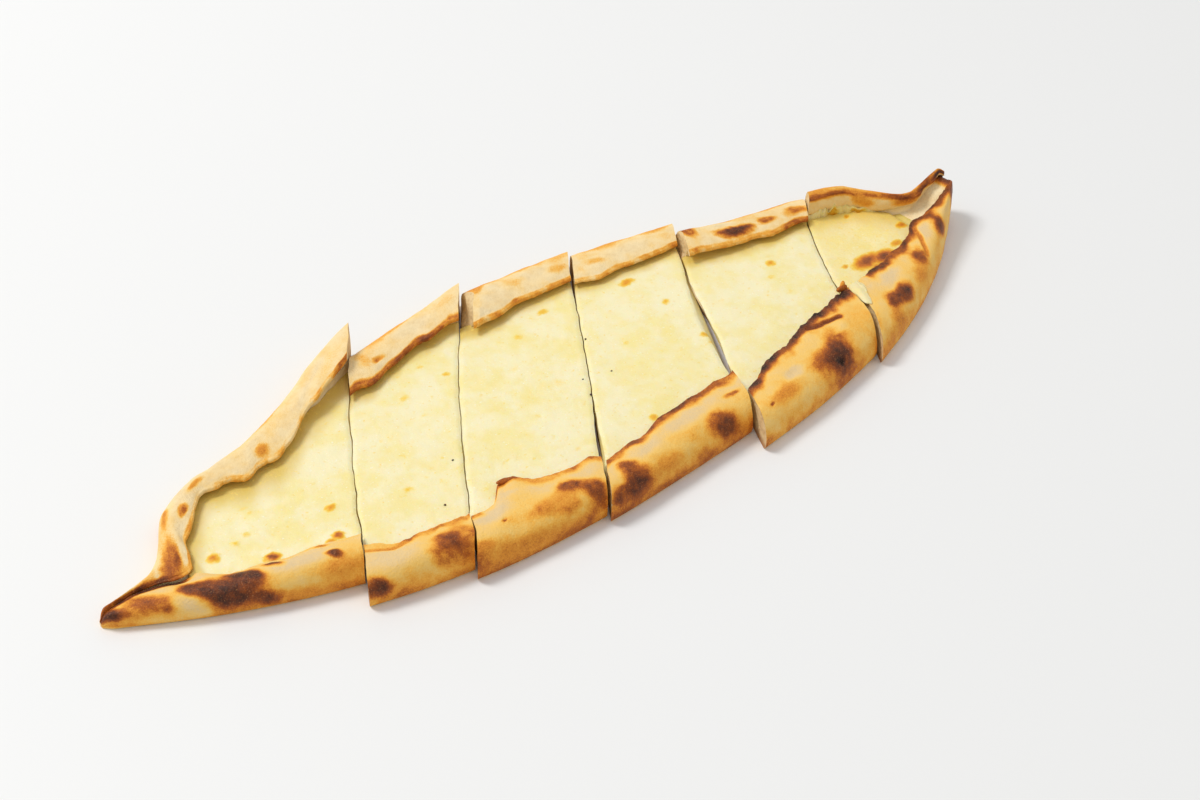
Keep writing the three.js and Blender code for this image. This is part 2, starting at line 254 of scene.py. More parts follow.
# Where one rib lies, and the sizes of its two folded rims
def ribFacts(wedge, share):
    nearX, farX = ribAt(wedge["ribs"], share)
    start, end = Vector((nearX, nearEdge(nearX))), Vector((farX, farEdge(farX)))
    span = (end - start).length
    along = (end - start).normalized()
    skews = [skewAt(nearEdge, nearX, along), skewAt(farEdge, farX, along)]
    even = [curveValue(wedge["nearRim"], share) + ripple(nearX)]
    even.append(curveValue(wedge["farRim"], share) + ripple(farX + fold["farRippleAt"]))
    torn = [even[0] + lipReach(wedge, 0, nearX), even[1] + lipReach(wedge, 1, farX)]
    widths = [max(fold["leastWidth"], width) / skew for width, skew in zip(torn, skews)]
    squeeze = min(1, (span - held(fold["seam"], span)) / sum(widths))
    opening = span - squeeze * sum(widths)
    floor = curveValue(wedge["floor"], share)
    rims = []
    for side, name in enumerate(sides):
        top = curveValue(wedge[name + "Top"], share)
        wall = curveValue(wedge[name + "Wall"], share)
        width = widths[side] * squeeze
        lip = top - held(fold[name + "Drop"], top) - curveValue(wedge[name + "Sink"], share)
        nose = held(fold["nose"], width)
        overCheese = min(cheese["level"] + fold["overCheese"], lip - fold["least"])
        underside = max(lip - fold["thickness"] - wall, mix(floor, lip, fold["overFloor"]), overCheese)
        overhang = fold["standingOverhang"] if wall > fold["standing"] else held(fold["overhang"], opening)
        evenWidth = max(fold["leastWidth"], even[side]) * squeeze / skews[side]
        rims.append(SimpleNamespace(
            width=width, top=top, lip=lip, underside=underside, nose=nose, skew=skews[side],
            pocket=width - nose - overhang,
            crest=curveValue(wedge[name + "Crest"], share) * min(width, evenWidth),
        ))
    return SimpleNamespace(
        start=start, along=along, across=Vector((along.y, -along.x)), span=span, floor=floor, rims=rims,
        share=share, slide=wedge["slide"], bows=wedge["bows"],
    )


# Point on a rib, stood aside by the bows of the slice's two cuts
def ribPoint(facts, inward):
    def arch(x):
        return math.sin(math.pi * clamp(x / facts.span))
    left, right = facts.bows
    aside = mix(left * arch(inward - facts.slide), right * arch(inward), facts.share)
    return facts.start + facts.along * inward + facts.across * aside


def steps(name):  # even shares from 0 up to below 1
    return [i / skin[name] for i in range(skin[name])]


# One rim in section from the foot to the pocket floor: inward, height and zone
def rimSection(rim, floor):
    wallTop, tuck = held(fold["wallHeight"], rim.top), held(fold["tuck"], rim.width)
    noseAt = rim.width - rim.nose
    middle, half = (rim.lip + rim.underside) / 2, (rim.lip - rim.underside) / 2
    points = []
    for share in steps("foot"):
        angle = share * math.pi / 2
        points.append((tuck * (1 - math.sin(angle)), wallTop * (1 - math.cos(angle)), "wall"))
    for share in steps("wall"):
        angle = share * math.pi / 2
        points.append((rim.crest * (1 - math.cos(angle)), mix(wallTop, rim.top, math.sin(angle)), "wall"))
    for share in steps("fold"):
        points.append((mix(rim.crest, noseAt, share), mix(rim.top, rim.lip, share * share), "fold"))
    for share in steps("nose"):
        angle = math.pi / 2 - share * math.pi
        points.append((noseAt + rim.nose * math.cos(angle), middle + half * math.sin(angle), "nose"))
    for share in steps("under"):
        points.append((mix(noseAt, rim.pocket, share), rim.underside, "under"))
    for share in [*steps("pocket"), 1]:
        points.append((rim.pocket, mix(rim.underside, floor, share), "pocket"))
    return points


def between(first, last, z, zone):  # level points up to the last place
    places = [mix(first, last, share) for share in [*steps(zone)[1:], 1]]
    return [SimpleNamespace(inward=inward, z=z, zone=zone) for inward in places]


# Everything round one rib, as a closed row of points with what each one is part of
def doughRow(facts):
    row = []
    for side, rim in enumerate(facts.rims):
        section = rimSection(rim, facts.floor)
        over, last, part = 0, section[0], []
        for i, (inward, height, zone) in enumerate(section):
            over += math.hypot((inward - last[0]) * rim.skew, height - last[1])
            last = (inward, height)
            before, after = section[max(i - 1, 0)], section[min(i + 1, len(section) - 1)]
            out = Vector((before[1] - after[1], after[0] - before[0]))
            out = out.normalized() if out.length > 0 else Vector((0, 1))
            part.append(SimpleNamespace(inward=inward, z=height, zone=zone, side=side, over=over, out=out))
        lipOver = max(point.over for point in part if point.zone == "fold")
        for point in part:
            point.lipOver = lipOver
            if side:
                point.inward = facts.span - point.inward
                point.out.x *= -1
        row.append(part if side == 0 else part[::-1])
    near, far = row
    middle = between(near[-1].inward, far[0].inward, facts.floor, "floor")
    base = between(far[-1].inward, near[0].inward, 0, "base")
    return near + middle[:-1] + far + base


# Browning of each rim: tones low on the wall, on its middle, inside the crest and on the lip, stains as x,
# way over the rim, half length, half width, tone and any lift, other lip tones as x, half length and tone,
# and creases as a line, half width, tone and lift. The low tone is partly browning and partly painted
# shade, as the lower wall faces down
nearCrust = [
    {"tones": (0.55, 0.38, 0.2, 0.26), "lipBand": 1.6, "flour": 0.1, "lips": [(-244, 22, 0.86)],
     "stains": [
        (-242, 11, 11, 6, 0.7), (-257, 8, 6, 4, 0.88), (-231, 9, 6, 6, 0.12), (-240, 4, 12, 3, 0.4),
        (-217, 13, 12, 8, 0.83, 0.6), (-209, 19.5, 7, 5.5, 0.88, 0.5), (-220, 12, 8, 5.5, 0.91, 0.4),
        (-206, 8, 5.5, 3.6, 0.84, 0.3), (-227, 16.5, 6, 4.5, 0.86, 0.4), (-190, 21, 12, 4.5, 0.02),
        (-178, 13.5, 11, 4, 0.56, 0.4), (-193, 6, 10, 3.4, 0.58), (-197, 24.5, 4.2, 3.4, 0.84, 0.2),
        (-177, 30, 4, 2.6, 0.6, 0.6), (-176.5, 20.1, 3.2, 3, 0.84, 0.7),
    ]},
    {"tones": (0.54, 0.37, 0.2, 0.62), "lipBand": 4.5, "lips": [(-155, 14, 0.5)], "stains": [
        (-130.4, 18.2, 11, 9, 0.78, 0.6), (-137, 13, 6, 3, 0.62, 0.2), (-124, 17, 5, 12, 0.62),
        (-166.6, 10.6, 5.5, 5, 0.88, 0.5), (-156, 21.5, 11, 5, 0.08), (-137, 28, 10, 3, 0.32),
    ], "creases": [([(-160, 30), (-151, 27), (-145, 28.6)], 1.4, 0.58, -0.4)]},
    {"tones": (0.67, 0.38, 0.24, 0.62), "lipBand": 4.5, "lips": [(-103, 6, 0.2), (-111, 5, 0.58)],
     "stains": [
        (-71.5, 24.4, 7, 5, 0.78, 0.4), (-64, 16.3, 6.5, 8, 0.78, 0.4), (-88.4, 19.6, 7, 3.4, 0.62, 0.2),
        (-79.9, 15.5, 7, 3.4, 0.62, 0.2), (-80.7, 20.3, 8, 5, 0.54), (-121, 15, 8, 4, 0.58, 0.2),
        (-104.8, 23.8, 1.2, 1.1, 0.92, -0.9), (-106, 31, 10, 6, 0), (-61, 28.6, 9, 4, 0.12),
        (-102, 8, 20, 5, 0.58), (-95, 36, 7, 3, 0.08), (-124, 10, 5, 5, 0.66),
    ]},
    {"tones": (0.67, 0.37, 0.2, 0.75), "lipBand": 7.5, "stains": [
        (10.4, 15, 9, 7, 0.83, 0.6), (-42.7, 24, 6, 4.4, 0.78, 0.3), (-44, 17, 7, 6, 0.78),
        (-46, 12.2, 11, 5, 0.85, 0.4), (-57, 12, 6, 5, 0.78, 0.3), (-27, 13.5, 11, 4.5, 0.56),
        (-29, 27, 11, 5.5, 0.05), (0, 28.5, 14, 5.5, 0.06), (26, 25.7, 5, 2, 0.7), (-15, 21, 7, 4, 0.38),
    ]},
    {"tones": (0.56, 0.4, 0.3, 0.88), "lipBand": 8, "flour": 0.22, "stains": [
        (97, 24.5, 8, 6.5, 0.66), (80, 20, 8, 6.5, 0.68, 0.2), (87, 8, 9, 5, 0.66),
        (90, 17.5, 10, 8, 0.92, 0.7), (89.5, 15, 2.8, 2.4, 1.0, -1.8), (62.9, 25.9, 7, 3.6, 0.06, -0.7),
        (39.2, 19.6, 1.1, 1.1, 0.85, -0.7), (50, 20, 11, 4.2, 0.58), (108, 27.5, 7, 3, 0.24, 0.4),
        (114, 24, 7, 7, 0.42), (76, 32, 14, 3, 0.3),
    ], "creases": [([(95.5, 40.5), (101, 36), (107, 34.5), (112, 31.7)], 2, 0.82, -1.1)]},
    {"tones": (0.57, 0.37, 0.22, 0.82), "lipBand": 7, "flour": 0.2, "lips": [(146, 9, 0.3)], "stains": [
        (147, 20, 6.5, 5, 0.82, 0.4), (156, 18.7, 7, 5.2, 0.88, 0.4), (186.3, 20.7, 7, 5.5, 0.78, 0.3),
        (216, 21, 7, 7, 0.84, 0.2), (160, 28.5, 10, 4.5, 0.04), (206, 24.5, 9, 4.5, 0.06),
        (247, 19, 10, 8, 0.84), (239, 23, 9, 6, 0.76), (140, 12, 7, 7, 0.6), (176, 16, 7, 4, 0.56),
        (231, 20, 8, 4, 0.2),
    ], "creases": [([(206.5, 29.5), (199, 23.5), (191, 18)], 1.4, 0.62, -0.8)]},
]
farCrust = [
    {"tones": (0.36, 0.22, 0.16, 0.4), "lipBand": 2,
     "lips": [(-246, 24, 0.8), (-216, 9, 0.5), (-98, 16, 0.62)], "stains": [
        (-221, 13, 11, 7, 0.4), (-226, 19, 7, 5, 0.74, 0.3), (-255, 6, 6, 5, 0.7),
        (-238, 13, 7, 4, 0.46, 0.3), (-244, 6, 9, 4, 0.3), (-206.3, 22, 3.4, 2.4, 0.66, 0.2),
        (-214.6, 13.4, 3.4, 2.4, 0.6), (-195, 18.5, 5, 2, 0.56), (-161, 24, 4.4, 3.6, 0.58, 0.6),
        (-149, 20, 9, 4, 0.34), (-125, 18, 14, 5, 0.28), (-107, 30, 16, 5, 0.36),
        (-150, 12, 18, 4.5, 0.48), (-112, 11, 16, 4, 0.5),
    ]},
    {"tones": (0.34, 0.24, 0.18, 0.7), "lipBand": 2.6, "lips": [(-28, 14, 0.6)], "stains": [
        (-84, 22, 5, 7, 0.46), (-78, 26.9, 3.2, 2, 0.62, -0.5), (-83, 12.5, 2.4, 2.2, 0.8, -0.4),
        (-76, 19.8, 8, 5, 0.36), (-28, 22.7, 10, 5, 0.38), (-62, 14, 20, 4.5, 0.5), (-30, 13, 12, 4, 0.52),
        (-55, 22, 12, 5, 0.1),
    ]},
    {"tones": (0.36, 0.24, 0.18, 0.52), "lipBand": 1.8, "stains": [
        (-10, 17, 9, 4, 0.44), (11, 24.1, 7, 4, 0.42), (36, 26, 8, 4, 0.46), (-3.5, 28, 9, 4, 0.08),
        (-6, 14, 12, 5, 0.56), (24, 14, 20, 4.5, 0.5), (44, 16, 8, 5, 0.46),
    ]},
    {"tones": (0.34, 0.24, 0.18, 0.48), "lipBand": 1.8, "stains": [
        (56.7, 26, 8, 3, 0.46), (77, 25, 13, 4, 0.1), (98.8, 24.4, 7, 4, 0.38), (72, 14, 20, 4.5, 0.5),
        (100, 15, 10, 5, 0.52),
    ]},
    {"tones": (0.4, 0.3, 0.24, 0.5), "lipBand": 2, "lips": [(172, 18, 0.66)], "stains": [
        (134, 27, 12, 4.6, 0.9, 0.4), (154.4, 25.8, 6, 3.2, 0.69, 0.3), (173, 25, 8, 3.6, 0.61, 0.2),
        (112, 18, 5, 8, 0.68), (144, 34.4, 9, 2.6, 0.44), (117, 31, 6, 4, 0.16), (140, 14, 20, 4.5, 0.5),
        (168, 14, 14, 4.5, 0.54),
    ]},
    {"tones": (0.45, 0.46, 0.5, 0.7), "lipBand": 3.4, "flour": 0.5, "patchy": 0.14, "inner": 0.24,
     "innerRelief": 1.6, "lips": [(240, 18, 0.84)], "stains": [
        (192, 28.5, 5, 3.6, 0.5), (206, 28, 4, 4, 0.56), (222, 25, 8, 4, 0.6), (214, 31, 6, 3, 0.34),
        (246, 22, 12, 4, 0.84), (246, 32, 14, 4, 0.02),
    ]},
]
usualRim = {"lips": [], "creases": [], "inner": None, "innerRelief": 0}
usualCrust = [{**usualRim, "patchy": 0.14, "flour": 0.15}, {**usualRim, "patchy": 0.24, "flour": 0.65}]

# How browning spreads, in millimetres or in shares of the way to the lip or of a mark's size. Noises are
# size, length along, length over the rim and start
bake = {
    "lowFrom": 3, "lowTo": 0.43, "highAt": (0.5, 0.82),
    "patches": [(1, 11, 8, 0)], "mottle": [(0.07, 3.2, 3.2, 4)],
    "relief": [(0.5, 20, 14, 2), (0.26, 7, 7, 3), (0.07, 2.2, 2.2, 5)], "reliefAt": (0.5, 5),
    "coarse": (7, 6, 0.5), "fine": (2, 2, 9), "frayAlong": (1.7, 0.4), "frayOver": (1.5, 0.4),
    "frayAway": 0.08, "stainFade": (0.3, 1.45), "stainRise": (0, 1.1),
    "darkFrom": 0.6, "darkMottle": [(0.1, 2.4, 2.4, 8)],
    "lipFade": (0.6, 1.1), "lipEnd": 0.2, "lipFray": (0.2, 0.08), "bandFray": 0.6,
    "creaseFade": (0.4, 1.5), "creaseFray": 0.8, "innerAt": (-0.5, 3.5), "innerFray": 2, "innerEdge": 2,
    "trayTone": 0.2, "trayAt": (0.6, 1.9),  # pale line where the dough lay on the tray
}


# Tone and lift of the crust at one place on a rim
def crustLook(marks, seed, x, over, lipOver):
    low, middle, high, lip = marks["tones"]
    # Low on the wall: browning, and painted shade where the wall faces down
    tone = mix(low, middle, ease(over, bake["lowFrom"], bake["lowTo"] * lipOver))
    tone = mix(tone, high, ease(over / lipOver, *bake["highAt"]))
    tone += marks["patchy"] * waves(bake["patches"], x, over, seed) + waves(bake["mottle"], x, over, seed)
    inside = over - lipOver
    if marks["inner"]:
        frayInside = inside + bake["innerFray"] * wander(x / 6, 2.2, seed)
        tone = mix(tone, marks["inner"], ease(frayInside, *bake["innerAt"]))
    coarse, fine = drift(bake["coarse"], x, over, seed), drift(bake["fine"], x, over, seed)
    frayX = x + bake["frayAlong"][0] * coarse.x + bake["frayAlong"][1] * fine.x
    frayOver = over + bake["frayOver"][0] * coarse.y + bake["frayOver"][1] * fine.y
    lift = waves(bake["relief"], x, over, seed)
    for at, up, length, width, level, *rise in marks["stains"]:
        if abs(x - at) > 1.7 * length + 4:  # out of reach
            continue
        away = math.hypot((frayX - at) / length, (frayOver - up) / width) + bake["frayAway"] * fine.z
        if level > bake["darkFrom"]:
            level += waves(bake["darkMottle"], x, over, seed)
        tone = mix(tone, level, 1 - ease(away, *bake["stainFade"]))
        away = math.hypot((x - at) / length, (over - up) / width)
        lift += sum(rise) * (1 - ease(away, *bake["stainRise"]))
    for at, half, level in marks["lips"]:
        lip = mix(lip, level, 1 - ease(abs(x - at) / half, *bake["lipFade"]))
    band = marks["lipBand"] * (1 + bake["bandFray"] * coarse.z)
    edge = ease(inside, -band, -bake["lipEnd"])
    if marks["inner"]:
        edge *= 1 - ease(inside, 0, bake["innerEdge"] + coarse.z)
    tone = mix(tone, lip + bake["lipFray"][0] * coarse.x + bake["lipFray"][1] * fine.x, edge)
    frayed = x + bake["creaseFray"] * coarse.x, over + bake["creaseFray"] * coarse.y
    for line, width, level, depth in marks["creases"]:
        away = lineAway(line, *frayed) / width
        tone = mix(tone, level, 1 - ease(away, *bake["creaseFade"]))
        lift += depth * (1 - ease(away, 0, 1))
    tone = mix(bake["trayTone"], tone, ease(over, *bake["trayAt"]))
    return tone, lift * ease(over, *bake["reliefAt"])


# Cut faces, with waves that both faces share as size, length and start
cutFace = {
    "reach": 16, "fade": 9, "closest": -0.35, "waves": [(0.8, 16, 7), (0.3, 6, 9)],
    "leanHeight": (3.5, 9), "leanFrom": (-40, -33), "leanCorner": 7,
}


# They gape here and there, and stand back at the foot or at a far corner
def endRetreat(number, wedge, facts, inward, z, leaning=True):
    shift = 0
    length = sliceLength(wedge)
    place = clamp(inward / facts.span)
    for end, away in ((0, facts.share * length), (1, (1 - facts.share) * length)):
        right = number - 1 + end  # the slice right of the cut holds the cut's values
        if away > cutFace["reach"] or right in (0, len(slices)):
            continue
        seed = (number + end) * 3.7
        along = inward - wedge["slide"] * (1 - end)
        fade = 1 - ease(away, 0, cutFace["fade"])
        shift += curveValue(slices[right]["aside"], place) * fade
        for size, long, start in cutFace["waves"]:
            shift += size * wander(along / long, seed + start) * fade
        back = curveValue(slices[right]["open"], place)
        back += 0.12 * wander(inward / 5, seed + end) + 0.08 * wander(inward / 2, seed + 5)  # nicks
        shift += (1 - 2 * end) * max(cutFace["closest"], back) * fade
        if end == 0:
            shift += curveValue(wedge["under"], place) * max(0, 1 - z / cheese["level"]) * fade
        if end == 0 and leaning:
            fromFar = facts.span - inward
            lean = wedge["lean"] * ease(z, *cutFace["leanHeight"]) * (1 - ease(away, 0, cutFace["reach"]))
            shift += lean * ease(-fromFar, *cutFace["leanFrom"]) * ease(fromFar, 0, cutFace["leanCorner"])
    return shift


# Rounds the first and last few millimetres of the bread off
def tipScale(number, wedge, share):
    away = share * sliceLength(wedge) if number == 1 else (1 - share) * sliceLength(wedge)
    if number not in (1, len(slices)) or away > boat["tipRound"]:
        return 1
    return max(boat["tipLeast"], math.sqrt(1 - (1 - away / boat["tipRound"]) ** 2))


# Each slice slides along the cut on its left and takes the later ones along
def slicePlaces():
    carrier = Matrix.Translation((*boat["shift"], 0)) @ turned(boat["turn"])
    places = []
    for wedge in slices:
        cut = ribFacts(wedge, 0)
        along = cut.along
        corner = cut.start + along * cut.span
        place = corner - along * wedge["slide"] + cut.across * wedge["gap"]
        swing = turned(wedge["turn"]) @ Matrix.Translation((*-corner, 0))
        carrier = carrier @ Matrix.Translation((*place, 0)) @ swing
        places.append(carrier.copy())
    return places


def gridIndex(vert, columns, rows):
    return round((vert.co.x + 0.5) * columns), round((vert.co.y + 0.5) * rows)


def smoothFaces(faces):
    for face in faces:
        face.smooth = True


def newObject(name, data):
    item = bpy.data.objects.new(name, data)
    bpy.context.scene.collection.objects.link(item)
    return item


def newPiece(bm, name, finishes):
    mesh = bpy.data.meshes.new(name)
    bm.to_mesh(mesh)
    bm.free()
    for finish in finishes:
        mesh.materials.append(finish)
    return newObject(name, mesh)


def finishPiece(bm, name, node, finishes, place):
    bmesh.ops.transform(bm, matrix=Matrix.Scale(mm, 4) @ place, verts=bm.verts)
    bmesh.ops.recalc_face_normals(bm, faces=bm.faces)
    piece = newPiece(bm, name, finishes)
    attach(piece, "root")
    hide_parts(node)


# Planes that divide an end face: upright ones first, but level ones first across a leaning far rim
def crumbPlanes(facts, leaning):
    start, along = Vector((*facts.start, 0)), Vector((*facts.along, 0))
    spacing, up = skin["crumbSpacing"], Vector((0, 0, 1))
    upright = [(start + along * spacing * i, along) for i in range(1, int(facts.span / spacing))]
    level = [(up * skin["crumbRise"] * i, up) for i in range(1, skin["crumbRows"])]
    rimAt = int((facts.span - facts.rims[1].pocket) / spacing) if leaning else len(upright)
    return upright[:rimAt] + level + upright[rimAt:]


# Joins the skin to a tube, closes both ends and divides them, so that the crumb has some relief
def fillEnds(bm, ribs, relief, leaning=False):
    bmesh.ops.remove_doubles(bm, verts=bm.verts, dist=skin["merge"])
    smoothFaces(bm.faces)
    edges = [edge for edge in bm.edges if edge.is_boundary]
    for face in bmesh.ops.holes_fill(bm, edges=edges, sides=0)["faces"]:
        face.smooth = True
        if face.calc_area() < boat["tipArea"]:
            continue
        face.material_index = 1
        spot = face.calc_center_median().xy
        facts = min(ribs[0], ribs[-1], key=lambda rib: (rib.start + rib.along * rib.span / 2 - spot).length)
        for edge in face.edges:
            edge.smooth = False
        rim = set(face.verts)
        faces = [face]
        for spot, normal in crumbPlanes(facts, leaning):
            parts = dict.fromkeys(faces)  # keeps their order, as a set would not
            for part in faces:
                parts.update(dict.fromkeys([*part.edges, *part.verts]))
            cut = bmesh.ops.bisect_plane(
                bm, geom=list(parts), dist=skin["merge"], plane_co=spot, plane_no=normal,
            )
            faces = [item for item in cut["geom"] if isinstance(item, bmesh.types.BMFace)]
        side = Vector((*facts.across, 0)) * (1 if facts is ribs[0] else -1)
        for vert in {vert for part in faces for vert in part.verts} - rim:
            if all(link.material_index == 1 for link in vert.link_faces):
                vert.co += side * relief * (0.5 + 0.6 * wander(*vert.co / skin["crumbGrain"]))
        bmesh.ops.triangulate(bm, faces=faces)


# The dough away from its rims, and how the raised tip chars
dough = {
    "innerTone": 0.12, "charTone": 0.84, "charAt": (0.9, 0.97), "noseLift": 0.4,
    "innerWaves": [(1, 9, 6, 17)], "nearFlour": (4, 0.5), "farFlour": (2, 8), "baseTone": 0.42,
    "baseFlour": 0.4, "baseWaves": [(0.2, 14, 14, 0), (0.16, 4, 4, 3)], "endRelief": 0.5, "flakeLift": 0.1,
}


def makeDough(number, wedge, place, finishes):
    columns = math.ceil(sliceLength(wedge) / skin["ribSpacing"])
    ribs = [ribFacts(wedge, i / columns) for i in range(columns + 1)]
    rows = [doughRow(facts) for facts in ribs]
    count = len(rows[0]) - 1
    rims = [{**usualCrust[0], **nearCrust[number - 1]}, {**usualCrust[1], **farCrust[number - 1]}]
    bm = bmesh.new()
    bmesh.ops.create_grid(bm, x_segments=columns, y_segments=count, size=0.5)
    toneLayer = bm.verts.layers.float.new("tone")
    flourLayer = bm.verts.layers.float.new("flour")
    for vert in bm.verts:
        column, row = gridIndex(vert, columns, count)
        facts, point = ribs[column], rows[column][row]
        inward, z, zone = point.inward, point.z, point.zone
        x = ribPoint(facts, inward).x
        charred = ease(facts.share, *dough["charAt"]) if number == len(slices) else 0
        tone, flour = mix(dough["innerTone"], dough["charTone"], charred), 1 - charred
        if zone in ("wall", "fold", "nose"):
            side, over, lipOver = point.side, point.over, point.lipOver
            marks = rims[side]
            tone, lift = crustLook(marks, number * 5.3 + side * 2.9, x, over, lipOver)
            if zone == "nose":
                lift *= dough["noseLift"]
                lift += marks["innerRelief"] * waves(dough["innerWaves"], x, over, 0)
            inward += point.out.x * lift
            z = max(0, z + point.out.y * lift)
            spread = 1 - ease(over, dough["nearFlour"][0], dough["nearFlour"][1] * lipOver)
            flour = marks["flour"] * (ease(over, *dough["farFlour"]) if side else spread)
        elif zone == "base":
            tone = dough["baseTone"] + waves(dough["baseWaves"], x, inward, number)
            flour = dough["baseFlour"]
        scale = tipScale(number, wedge, facts.share)
        inward = mix(facts.span / 2, inward, scale)
        z *= scale if number == 1 else mix(boat["tipDrop"], 1, scale)
        spot = ribPoint(facts, inward) + facts.across * endRetreat(number, wedge, facts, inward, z)
        vert.co = (*spot, z)
        vert[toneLayer], vert[flourLayer] = tone, flour
    fillEnds(bm, ribs, dough["endRelief"], wedge["lean"] > 0)
    for share, inside, size, turn, tone in wedge["flakes"]:
        facts = ribFacts(wedge, share)
        near = facts.rims[0]
        at = (*ribPoint(facts, near.width + inside), near.lip + dough["flakeLift"])
        addBit(bm, toneLayer, at, size, turn, tone)
    finishPiece(bm, f"crust_slice_{number}", f"dough_{number}", finishes, place)


# A small uneven lump lying on a surface
def addBit(bm, layer, at, size, turn, value):
    lie = Matrix.Translation(at) @ turned(turn) @ Matrix.Diagonal((*size, 1))
    for vert in bmesh.ops.create_icosphere(bm, subdivisions=3, radius=1, matrix=lie)["verts"]:
        vert.co.z += 0.3 * size[2] * wander(*vert.co / 2.5)
        vert[layer] = value
        smoothFaces(vert.link_faces)


# Browned spots of each cheese top as x, y, half length, half width, tone and any lift, dark specks, how far
# the painted shade (a deeper yellow) reaches from the far lip, and what the first and last slice have of
# their own
cheeseMarks = [
    {"paintedShade": 16, "heap": {"height": 0.7, "reach": 9}, "spots": [
        (-211.2, -2.2, 3.4, 3.2, 0.58, 0.5), (-166.3, -25, 3.4, 3, 0.74, 0.6),
        (-199.7, -0.7, 2.8, 2, 0.28, 0.2), (-158.6, -9.2, 3.4, 2.4, 0.48, 0.3),
        (-185.3, 10.5, 2.2, 1.8, 0.2, 0.1), (-193.4, 0.7, 2.4, 2, 0.24, 0.1),
        (-193.5, -18, 4, 3.4, 0.84, 0.5), (-171, -26, 4, 2.4, 0.5, 0.3),
    ]},
    {"specks": [(-115.7, -28.5), (-95, -8.9)], "spots": [
        (-83.8, 38.2, 3.6, 2.6, 0.24), (-58.5, 39.4, 2.6, 2, 0.34), (-64.4, 51.6, 2.6, 2, 0.24),
        (-84.8, 23.2, 3, 2, 0.16), (-120.9, -10.9, 3.2, 2.4, 0.26), (-104.8, -6.6, 3.6, 3, 0.16),
    ]},
    {"specks": [(-11.7, -0.7), (-16.7, -11.1)], "spots": [
        (10.4, 50.9, 4, 2.8, 0.34, 0.1), (-12, 43.3, 3.4, 2.6, 0.26), (-45.1, -6.4, 2.6, 2, 0.16),
        (-46.8, -34.2, 3, 2.4, 0.18), (-30, 26, 4, 3, 0.14), (-22, 5, 5, 4, 0.14),
    ]},
    {"specks": [(3.7, -1.5), (11.8, 24.5)], "spots": [
        (60, 45.2, 6, 3.4, 0.5, 0.2), (62.5, 20.7, 3.2, 2.6, 0.36), (24.3, 9.4, 2.4, 1.8, 0.24),
        (57.1, -10.5, 3, 2.5, 0.38), (56.3, -16.5, 2.6, 2.2, 0.32), (-5.6, -38, 3, 3, 0.42, 0.1),
    ]},
    {"paintedShade": 9, "spots": [
        (131.7, 19.1, 3.6, 3, 0.48, 0.2), (122.6, 10.9, 3, 2.2, 0.22), (120, -4, 3, 2, 0.16),
    ]},
    {
        "paintedShade": 20, "warm": 0.12,
        "tongue": {"rise": 1.6, "riseAt": (0.25, 0.55), "drop": 3, "dropAt": (0.6, 0.68), "least": 0.4},
        "puddle": {
            "share": 0.05, "inside": -7, "halfShare": 0.042, "halfInside": 12, "height": 1.5, "sunk": 1.5,
            "ragged": 0.4, "uneven": 0.6, "overCheese": 0.4, "drape": (-1, 2.2), "brown": 0.05, "paintedShade": 0.3,
        },
        "climb": {
            "share": 0.25, "halfShare": 0.3, "height": 5, "thick": 2.4, "sunk": 1.5, "inWall": 0.8,
            "clear": 0.3, "hollows": (0.24, 0.43), "hollowSize": (0.02, 0.065), "hollowTop": (-0.75, -0.3),
            "brown": (0.14, 0.36), "paintedShade": 0.3,
        },
        "spots": [
            (172, -8, 12, 6, 0.84, 0.2), (181.5, -11.5, 9, 6, 0.9, 0.1), (171, -17, 7, 6, 0.74),
            (210.6, -0.1, 5, 3.4, 0.62), (195, -8.9, 5, 3, 0.52), (159.7, -3.4, 2.6, 2, 0.5),
            (195.2, 33.3, 3, 2.2, 0.4, -0.9), (197.5, 25.7, 2.6, 2, 0.5, -0.6),
            (205.8, 24.4, 3, 2, 0.4, -0.8),
        ],
    },
]
usualCheese = {"specks": [], "paintedShade": 8, "warm": 0}


# A round lump, laid where it belongs point by point
def addMelt(bm, layers, settle, *facts):
    for vert in bmesh.ops.create_icosphere(bm, subdivisions=6, radius=1)["verts"]:
        vert.co, vert[layers[0]], vert[layers[1]] = settle(*facts, *vert.co)
        smoothFaces(vert.link_faces)


# Cheese that ran over the near lip
def puddlePoint(wedge, puddle, x, y, z):
    spread = 1 + puddle["ragged"] * wander(1.7 * x, 1.7 * y, 5.5)
    facts = ribFacts(wedge, puddle["share"] + x * puddle["halfShare"] * spread)
    near = facts.rims[0]
    inward = near.width + puddle["inside"] + y * puddle["halfInside"] * spread
    over = clamp((inward - near.crest) / (near.width - near.nose - near.crest))
    bed = mix(near.top, near.lip, over * over)
    onCheese = cheese["level"] + puddle["overCheese"]
    bed = mix(bed, onCheese, ease(inward - near.width, *puddle["drape"]))
    rise = puddle["height"] + puddle["uneven"] * wander(x * 2, y * 3, 8) if z > 0 else puddle["sunk"]
    return (*ribPoint(facts, inward), bed + z * rise), puddle["brown"], puddle["paintedShade"]


# Cheese that clings to the standing far wall, with hollows under it that get a browner colour as painted
# shade
def climbPoint(wedge, climb, x, y, z):
    share = climb["share"] + x * climb["halfShare"]
    facts = ribFacts(wedge, share)
    hollow = max(1 - ease(abs(share - at), *climb["hollowSize"]) for at in climb["hollows"])
    hollow *= ease(-z, *climb["hollowTop"])
    thick = climb["thick"] * (1 + 0.6 * wander(share * 30, 2.6)) * (1 - 0.75 * hollow)
    wall = facts.span - facts.rims[1].pocket - climb["clear"]
    high = climb["height"] * (0.9 + 0.8 * wander(share * 22, 6.1)) if z > 0 else climb["sunk"]
    spot = ribPoint(facts, wall + (thick if y < 0 else climb["inWall"]) * y)
    # The hollows are coloured browner: painted shade under the clinging cheese
    return (*spot, cheese["level"] + high * z), mix(*climb["brown"], hollow), climb["paintedShade"]


